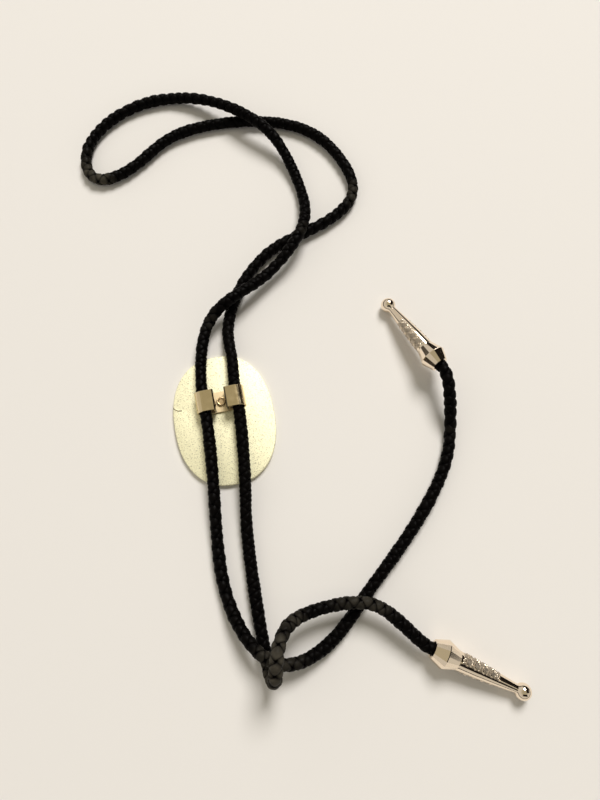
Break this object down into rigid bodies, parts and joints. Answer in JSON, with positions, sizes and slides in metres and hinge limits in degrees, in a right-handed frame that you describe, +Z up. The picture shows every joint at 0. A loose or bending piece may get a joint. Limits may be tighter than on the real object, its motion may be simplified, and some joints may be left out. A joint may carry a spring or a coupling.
{
  "type": "bolo tie",
  "caption": "Necktie of braided leather cord with an oval metal slide, shown by its back and clip, and metal cord tips, lying loose on a surface.",
  "frame": {"origin": "on the surface that the tie lies on, under the centre of the slide plate", "axes": "+Z up from the surface, out of the slide's back; +Y along the slide plate's long axis, towards the neck loop; +X towards the tips"},
  "size_m": [0.1365, 0.2859, 0.0225],
  "materials": {
    "grained_gold": "fine grained cast finish, gold coloured plating with slight wear",
    "bright_gold": "polished gold coloured sheet, lightly brushed",
    "rose_gold": "polished pale rose gold plating, darker in the relief",
    "black_leather": "round braid of black leather lace with a low sheen"
  },
  "bodies": {
    "root": {"slide_plate": "grained_gold", "slide_clip": "bright_gold", "clip_rivet": "bright_gold", "cord": "black_leather", "tip_upper": "rose_gold", "tip_lower": "rose_gold"}
  },
  "joints": []
}
